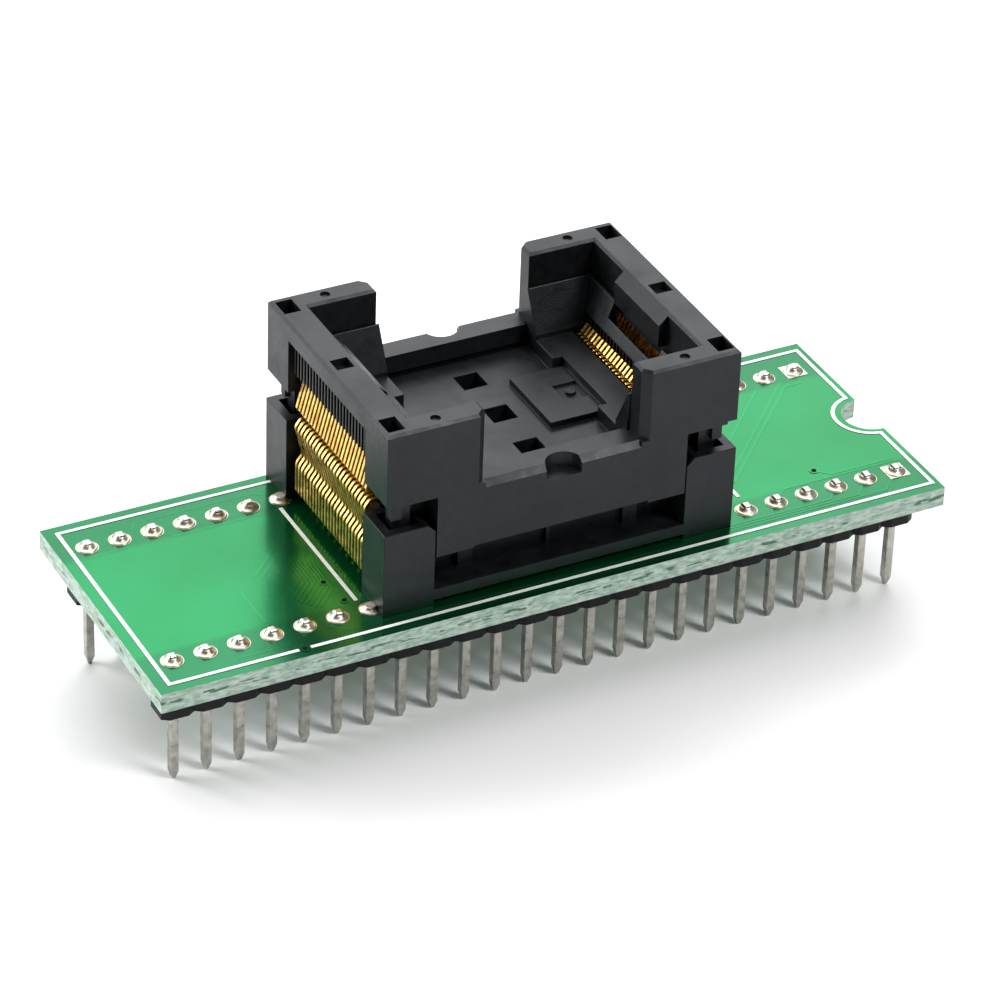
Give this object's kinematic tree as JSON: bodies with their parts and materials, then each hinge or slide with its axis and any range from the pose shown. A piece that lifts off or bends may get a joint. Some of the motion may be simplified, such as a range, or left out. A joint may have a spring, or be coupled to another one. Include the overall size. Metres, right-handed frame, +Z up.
{
  "type": "test socket adapter",
  "caption": "Green adapter board on two rows of header pins, with an open-top test socket whose cover presses down to open two banks of sprung contacts.",
  "frame": {"origin": "under the middle of the circuit board, level with the tips of the pins", "axes": "+X along the board towards its notched end, +Y across it towards the rear row of pins, +Z up"},
  "size_m": [0.063, 0.022, 0.0252],
  "materials": {
    "board": "gloss",
    "strip_plastic": "matte",
    "pin_metal": "satin",
    "socket_plastic": "matte",
    "contact_metal": "satin",
    "spring_steel": "satin"
  },
  "bodies": {
    "adapter": {"circuit_board": "board", "front_header_strip": "strip_plastic", "rear_header_strip": "strip_plastic", "front_header_pins": "pin_metal", "rear_header_pins": "pin_metal", "socket_base": "socket_plastic", "left_outer_contacts": "contact_metal", "left_inner_contacts": "contact_metal", "right_outer_contacts": "contact_metal", "right_inner_contacts": "contact_metal", "left_front_spring": "spring_steel", "left_rear_spring": "spring_steel", "right_front_spring": "spring_steel", "right_rear_spring": "spring_steel"},
    "cover": {"socket_cover": "socket_plastic"},
    "left_rocker_bank": {"left_rockers": "contact_metal"},
    "right_rocker_bank": {"right_rockers": "contact_metal"}
  },
  "joints": [
    {"name": "cover_press", "type": "slide", "parent": "adapter", "child": "cover", "axis": [0, 0, -1], "range_m": [0, 0.0022], "stiffness_N_per_m": 400, "springref_m": -0.0003, "deforming": ["left_front_spring", "left_rear_spring", "right_front_spring", "right_rear_spring"]},
    {"name": "left_rocker_tilt", "type": "hinge", "parent": "adapter", "child": "left_rocker_bank", "pos_m": [-0.01118, 0.00098, 0.0177], "axis": [0, -1, 0], "range_deg": [0, 17.19]},
    {"name": "right_rocker_tilt", "type": "hinge", "parent": "adapter", "child": "right_rocker_bank", "pos_m": [0.01202, 0.00098, 0.0177], "axis": [0, 1, 0], "range_deg": [0, 17.19]}
  ],
  "couplings": [
    {"joint": "left_rocker_tilt", "follows": "cover_press", "rad_per_m": 136.36},
    {"joint": "right_rocker_tilt", "follows": "cover_press", "rad_per_m": 136.36}
  ]
}
